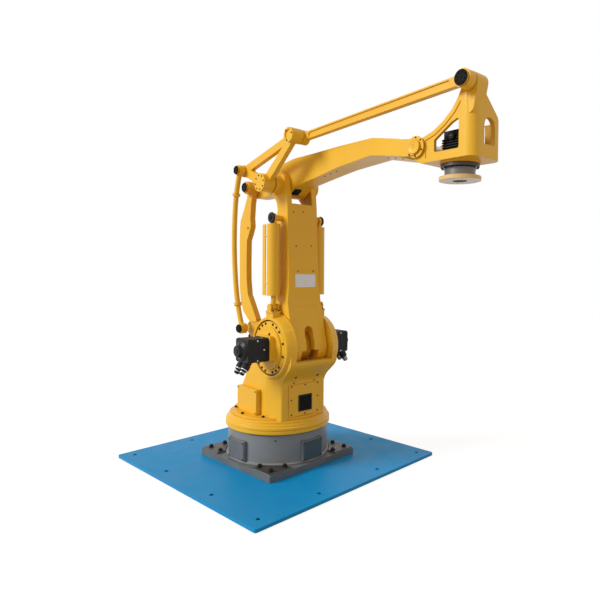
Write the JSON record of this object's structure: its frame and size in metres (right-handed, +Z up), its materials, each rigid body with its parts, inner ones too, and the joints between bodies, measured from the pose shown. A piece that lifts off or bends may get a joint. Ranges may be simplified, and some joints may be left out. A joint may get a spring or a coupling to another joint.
{
  "type": "industrial robot arm",
  "caption": "Floor-standing palletising robot arm: slewing body, parallel-link lower and upper arms, balancer cylinders and a level wrist with a turning tool flange.",
  "frame": {"origin": "on the slewing axis, at the underside of the floor plate", "axes": "+Z up along the slewing axis; X and Y along the edges of the floor plate; the arm reaches towards +X, slewed 4.8 degrees towards -Y as in the picture"},
  "size_m": [2.7997, 1.79, 2.539],
  "materials": {
    "yellow_paint": "satin",
    "blue_paint": "satin",
    "grey_paint": "satin",
    "dark_paint": "satin",
    "steel": "satin"
  },
  "bodies": {
    "base": {"floor_plate": "blue_paint", "base_plate": "grey_paint", "pedestal_drum": "grey_paint", "cable_box_side": "grey_paint", "cable_box_front": "grey_paint"},
    "swivel": {"slew_ring": "yellow_paint", "swivel_casting": "yellow_paint", "swivel_cheek_right": "yellow_paint", "swivel_cheek_left": "yellow_paint", "swivel_side_cover": "yellow_paint", "swivel_front_panel": "yellow_paint", "shoulder_reducer_right": "yellow_paint", "shoulder_reducer_left": "yellow_paint", "shoulder_motor_right": "dark_paint", "shoulder_motor_left": "dark_paint", "balancer_clevis_right": "yellow_paint", "balancer_clevis_left": "yellow_paint", "level_rod_pin": "steel"},
    "lower_arm": {"lower_arm": "yellow_paint", "lower_arm_hub_right": "yellow_paint", "lower_arm_hub_left": "yellow_paint", "lower_arm_apron": "yellow_paint", "lower_arm_fork_right": "yellow_paint", "lower_arm_fork_left": "yellow_paint", "balancer_pin_right": "steel", "balancer_pin_left": "steel"},
    "crank": {"crank": "yellow_paint"},
    "crank_pin": {"crank_pin": "steel"},
    "drive_link": {"drive_link": "yellow_paint"},
    "level_rod": {"level_rod": "yellow_paint"},
    "triangle_link": {"triangle_link": "yellow_paint"},
    "tie_rod": {"tie_rod": "yellow_paint"},
    "upper_arm": {"upper_arm": "yellow_paint", "wrist_pin": "steel"},
    "wrist_head": {"wrist_head": "yellow_paint", "wrist_motor": "dark_paint", "wrist_reducer": "dark_paint"},
    "tool_flange": {"tool_flange": "yellow_paint"},
    "rod_right": {"balancer_rod_right": "steel"},
    "rod_left": {"balancer_rod_left": "steel"},
    "tube_right": {"balancer_tube_right": "yellow_paint"},
    "tube_left": {"balancer_tube_left": "yellow_paint"}
  },
  "joints": [
    {"name": "slew", "type": "hinge", "parent": "base", "child": "swivel", "pos_m": [0, 0, 0.3], "axis": [0, 0, 1], "range_deg": [-180, 180]},
    {"name": "lower_arm_swing", "type": "hinge", "parent": "swivel", "child": "lower_arm", "pos_m": [0.21624, -0.01816, 0.917], "axis": [0.0837, 0.9965, 0], "range_deg": [-12, 45]},
    {"name": "crank_swing", "type": "hinge", "parent": "swivel", "child": "crank", "pos_m": [0.21624, -0.01816, 0.917], "axis": [0.0837, 0.9965, 0], "range_deg": [-15, 30]},
    {"name": "crank_pin_turn", "type": "hinge", "parent": "crank", "child": "crank_pin", "pos_m": [-0.22321, 0.01874, 0.942], "axis": [0.0837, 0.9965, 0], "range_deg": [-30.5, 15.5]},
    {"name": "drive_link_swing", "type": "hinge", "parent": "crank_pin", "child": "drive_link", "pos_m": [-0.22321, 0.01874, 0.942], "axis": [0.0837, 0.9965, 0], "range_deg": [-12.5, 45.5]},
    {"name": "level_rod_swing", "type": "hinge", "parent": "swivel", "child": "level_rod", "pos_m": [-0.06677, 0.00561, 1.04], "axis": [0.0837, 0.9965, 0], "range_deg": [-12.5, 45.5]},
    {"name": "triangle_turn", "type": "hinge", "parent": "lower_arm", "child": "triangle_link", "pos_m": [0.16542, -0.01389, 2.135], "axis": [0.0837, 0.9965, 0], "range_deg": [-45.5, 12.5]},
    {"name": "upper_arm_swing", "type": "hinge", "parent": "triangle_link", "child": "upper_arm", "pos_m": [0.16542, -0.01389, 2.135], "axis": [0.0837, 0.9965, 0], "range_deg": [-15.5, 30.5]},
    {"name": "tie_rod_swing", "type": "hinge", "parent": "triangle_link", "child": "tie_rod", "pos_m": [0.51618, -0.04335, 2.423], "axis": [0.0837, 0.9965, 0], "range_deg": [-15.5, 30.5]},
    {"name": "wrist_level", "type": "hinge", "parent": "upper_arm", "child": "wrist_head", "pos_m": [1.52264, -0.12786, 2.199], "axis": [0.0837, 0.9965, 0], "range_deg": [-30.5, 15.5]},
    {"name": "tool_turn", "type": "hinge", "parent": "wrist_head", "child": "tool_flange", "pos_m": [1.72194, -0.1446, 2.001], "axis": [0, 0, 1], "range_deg": [-180, 180]},
    {"name": "balancer_rod_right_swing", "type": "hinge", "parent": "swivel", "child": "rod_right", "pos_m": [0.20647, -0.23008, 1.217], "axis": [0.0837, 0.9965, 0], "range_deg": [-16.94, 62.15]},
    {"name": "balancer_tube_right_swing", "type": "hinge", "parent": "lower_arm", "child": "tube_right", "pos_m": [0.20328, -0.22982, 1.87804], "axis": [0.0837, 0.9965, 0], "range_deg": [-4.94, 17.15]},
    {"name": "balancer_rod_left_swing", "type": "hinge", "parent": "swivel", "child": "rod_left", "pos_m": [0.24195, 0.19243, 1.217], "axis": [0.0837, 0.9965, 0], "range_deg": [-16.94, 62.15]},
    {"name": "balancer_tube_left_swing", "type": "hinge", "parent": "lower_arm", "child": "tube_left", "pos_m": [0.23876, 0.1927, 1.87804], "axis": [0.0837, 0.9965, 0], "range_deg": [-4.94, 17.15]}
  ],
  "couplings": [
    {"joint": "crank_pin_turn", "follows": "crank_swing", "ratio": -1},
    {"joint": "drive_link_swing", "follows": "lower_arm_swing", "ratio": 1},
    {"joint": "level_rod_swing", "follows": "lower_arm_swing", "ratio": 1},
    {"joint": "triangle_turn", "follows": "lower_arm_swing", "ratio": -1},
    {"joint": "upper_arm_swing", "follows": "crank_swing", "ratio": 1},
    {"joint": "tie_rod_swing", "follows": "crank_swing", "ratio": 1},
    {"joint": "wrist_level", "follows": "crank_swing", "ratio": -1},
    {"joint": "balancer_rod_right_swing", "follows": "lower_arm_swing", "ratio": 1.37},
    {"joint": "balancer_tube_right_swing", "follows": "lower_arm_swing", "ratio": 0.37},
    {"joint": "balancer_rod_left_swing", "follows": "lower_arm_swing", "ratio": 1.37},
    {"joint": "balancer_tube_left_swing", "follows": "lower_arm_swing", "ratio": 0.37}
  ]
}
